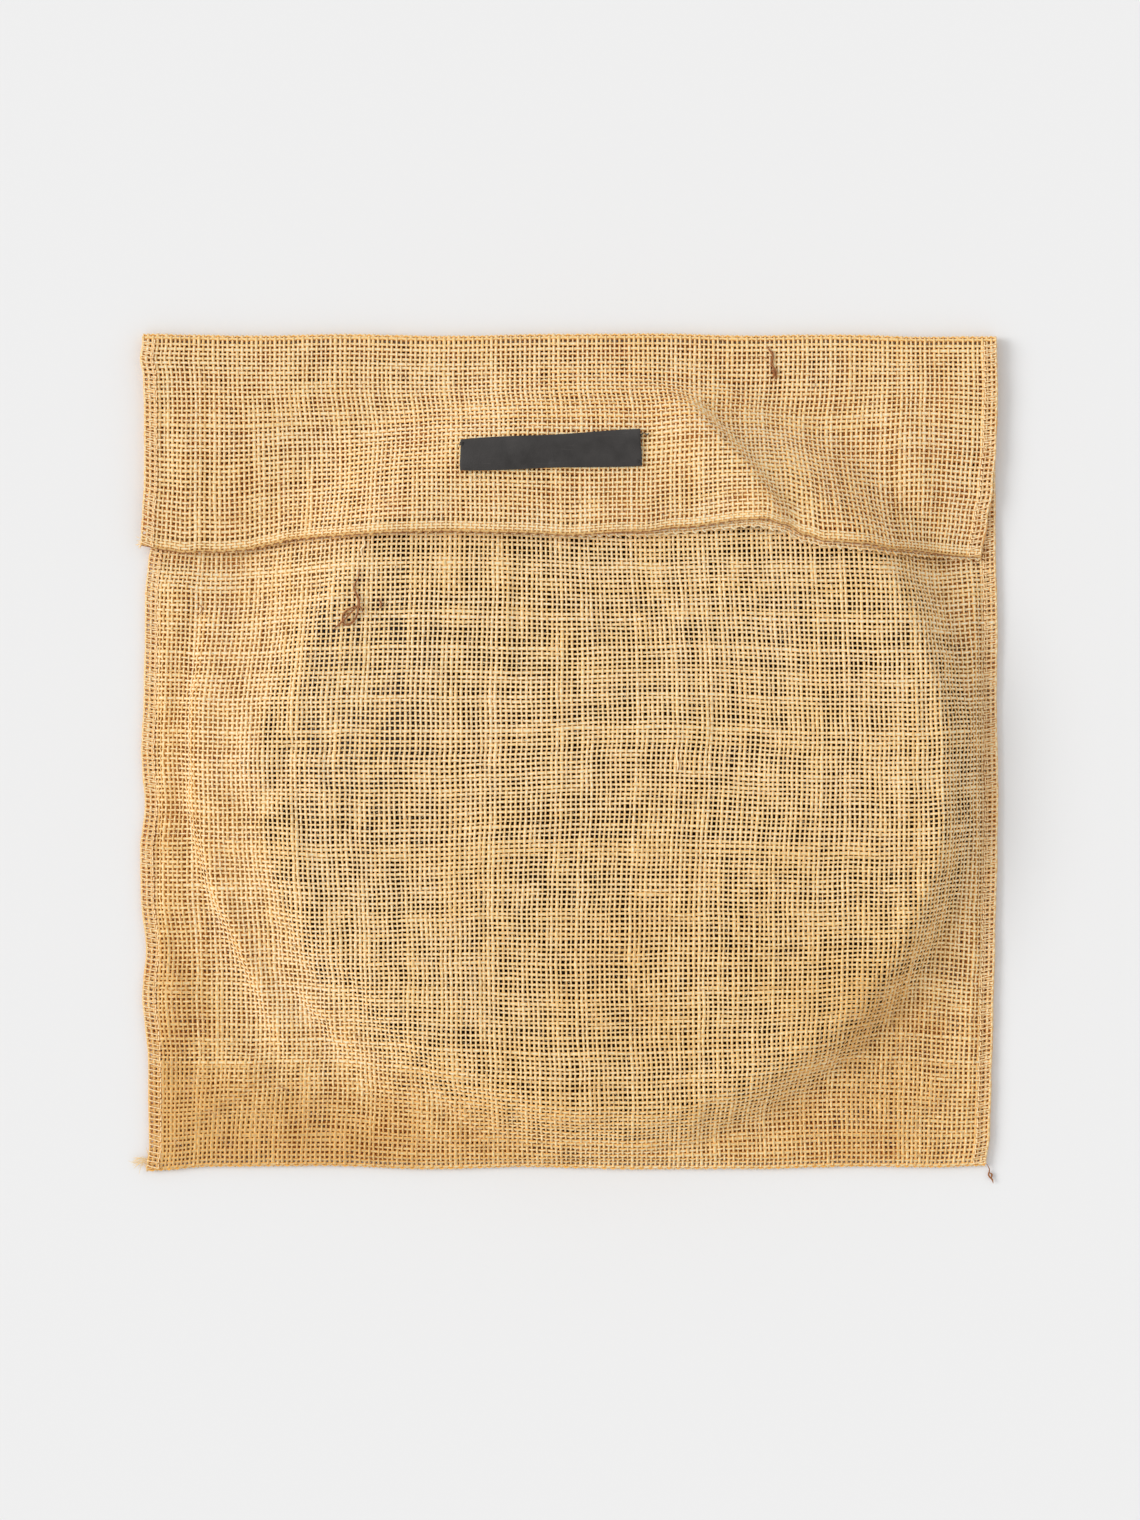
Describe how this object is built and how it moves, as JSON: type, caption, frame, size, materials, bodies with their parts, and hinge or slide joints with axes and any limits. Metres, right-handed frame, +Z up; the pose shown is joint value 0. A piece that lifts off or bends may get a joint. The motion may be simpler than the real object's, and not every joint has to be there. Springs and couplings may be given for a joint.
{
  "type": "hessian sack with folded flap",
  "caption": "Flat hessian sack lying on its back, its mouth end folded over the front as a hinged flap with a sewn label, holding a shallow round dish.",
  "frame": {"origin": "centre of the sack's outline, on the floor under its back panel", "axes": "+X across the sack to the right, +Y from the bottom fold to the top fold, +Z up, out of the front"},
  "size_m": [0.4204, 0.4116, 0.0368],
  "materials": {
    "hessian": "open plain-woven jute",
    "seam_thread": "twisted jute thread",
    "dark_yarn": "coarse brown jute yarn",
    "label_leather": "soft black, slight gloss",
    "black_thread": "matt black thread",
    "dish_glaze": "dark, half gloss"
  },
  "bodies": {
    "sack": {"back_panel": "hessian", "front_panel": "hessian", "bottom_fold": "hessian", "left_seam": "hessian", "right_seam": "hessian", "left_overlock": "seam_thread", "right_overlock": "seam_thread", "left_stitching": "seam_thread", "right_stitching": "seam_thread", "corner_thread_tail": "seam_thread", "corner_tuft": "seam_thread", "knotted_yarn": "dark_yarn"},
    "flap": {"flap_outer": "hessian", "flap_inner": "hessian", "outer_selvedge": "hessian", "inner_selvedge": "hessian", "flap_left_seam": "hessian", "flap_right_seam": "hessian", "flap_left_overlock": "seam_thread", "flap_right_overlock": "seam_thread", "flap_left_stitching": "seam_thread", "flap_right_stitching": "seam_thread", "fold_outer": "hessian", "fold_inner": "hessian", "label": "label_leather", "label_tacks": "black_thread", "flap_yarn_end": "dark_yarn", "mouth_corner_tuft": "seam_thread"},
    "dish": {"dish": "dish_glaze"}
  },
  "joints": [
    {"name": "flap_fold", "type": "hinge", "parent": "sack", "child": "flap", "pos_m": [0, 0.1986, 0.003], "axis": [-1, 0, 0], "range_deg": [0, 150], "deforming": ["fold_outer", "fold_inner"]},
    {"name": "dish_shift", "type": "slide", "parent": "sack", "child": "dish", "axis": [0, 1, 0], "range_m": [0, 0.01]}
  ]
}
